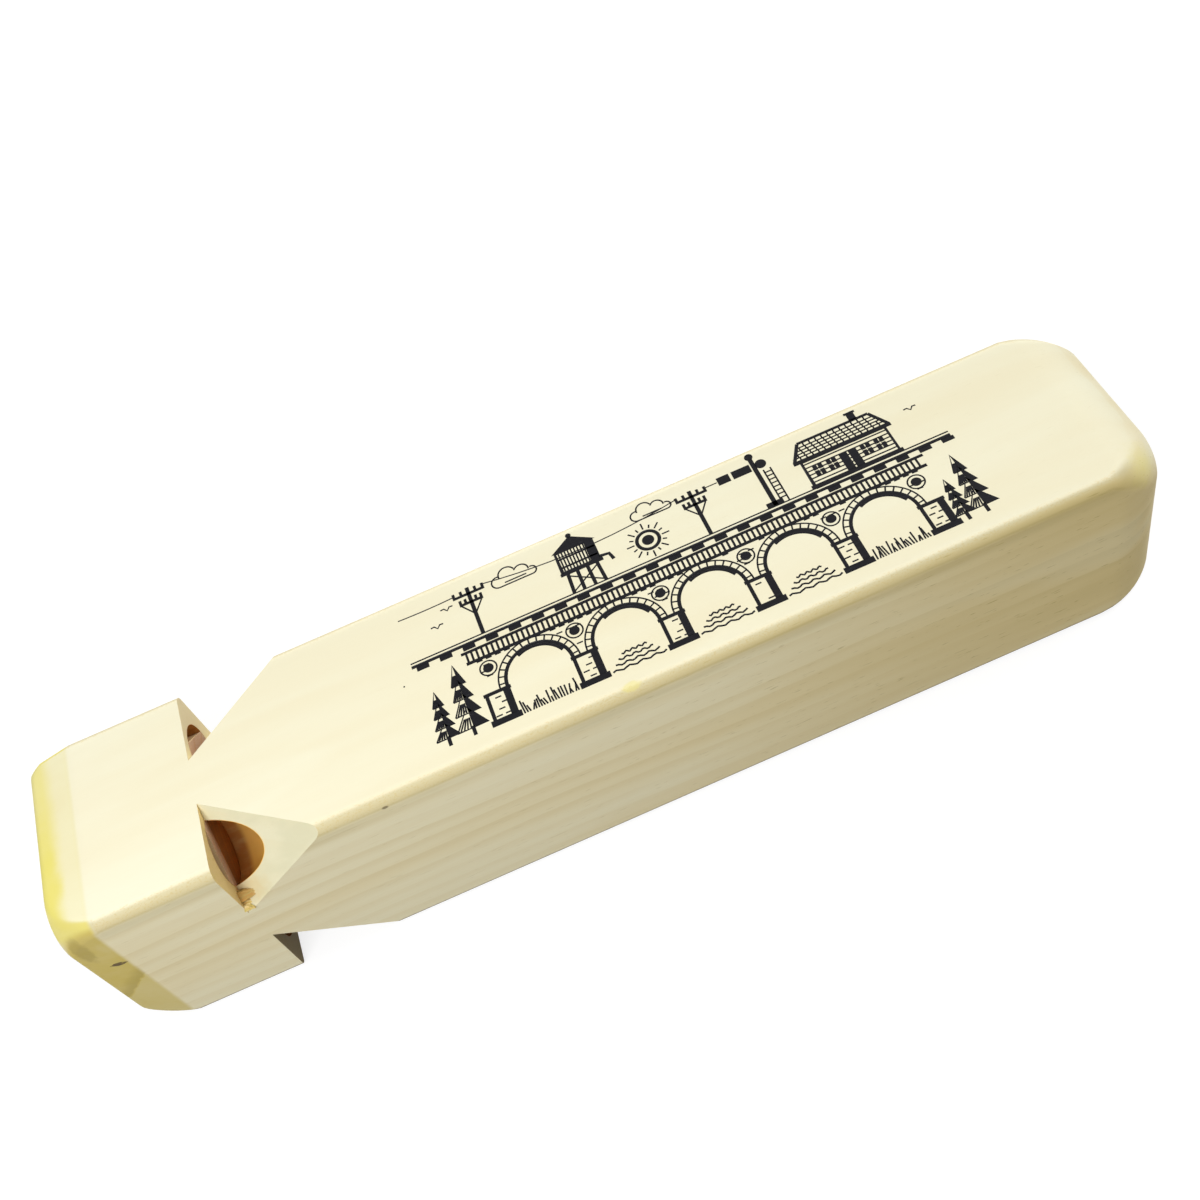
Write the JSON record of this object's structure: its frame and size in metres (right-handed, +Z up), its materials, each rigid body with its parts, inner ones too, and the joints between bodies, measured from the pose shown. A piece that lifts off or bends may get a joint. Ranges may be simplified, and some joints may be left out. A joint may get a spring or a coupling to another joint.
{
  "type": "wooden train whistle",
  "caption": "Square wooden block whistle with stopped pipes behind its long corners, a voicing notch across each corner, glued plugs with flat windways and a slimmed mouth end.",
  "frame": {"origin": "under the middle of the block, on the face that it rests on", "axes": "+X from the mouth end to the stopped end, +Y from the front face to the back face, +Z up towards the printed face"},
  "size_m": [0.1544, 0.03, 0.03],
  "materials": {
    "pine": "sanded and left bare",
    "dowel": "cut end grain, left bare"
  },
  "bodies": {
    "root": {"whistle_body": "pine", "plug_top_front": "dowel", "plug_top_back": "dowel", "plug_bottom_front": "dowel", "plug_bottom_back": "dowel"}
  },
  "joints": []
}
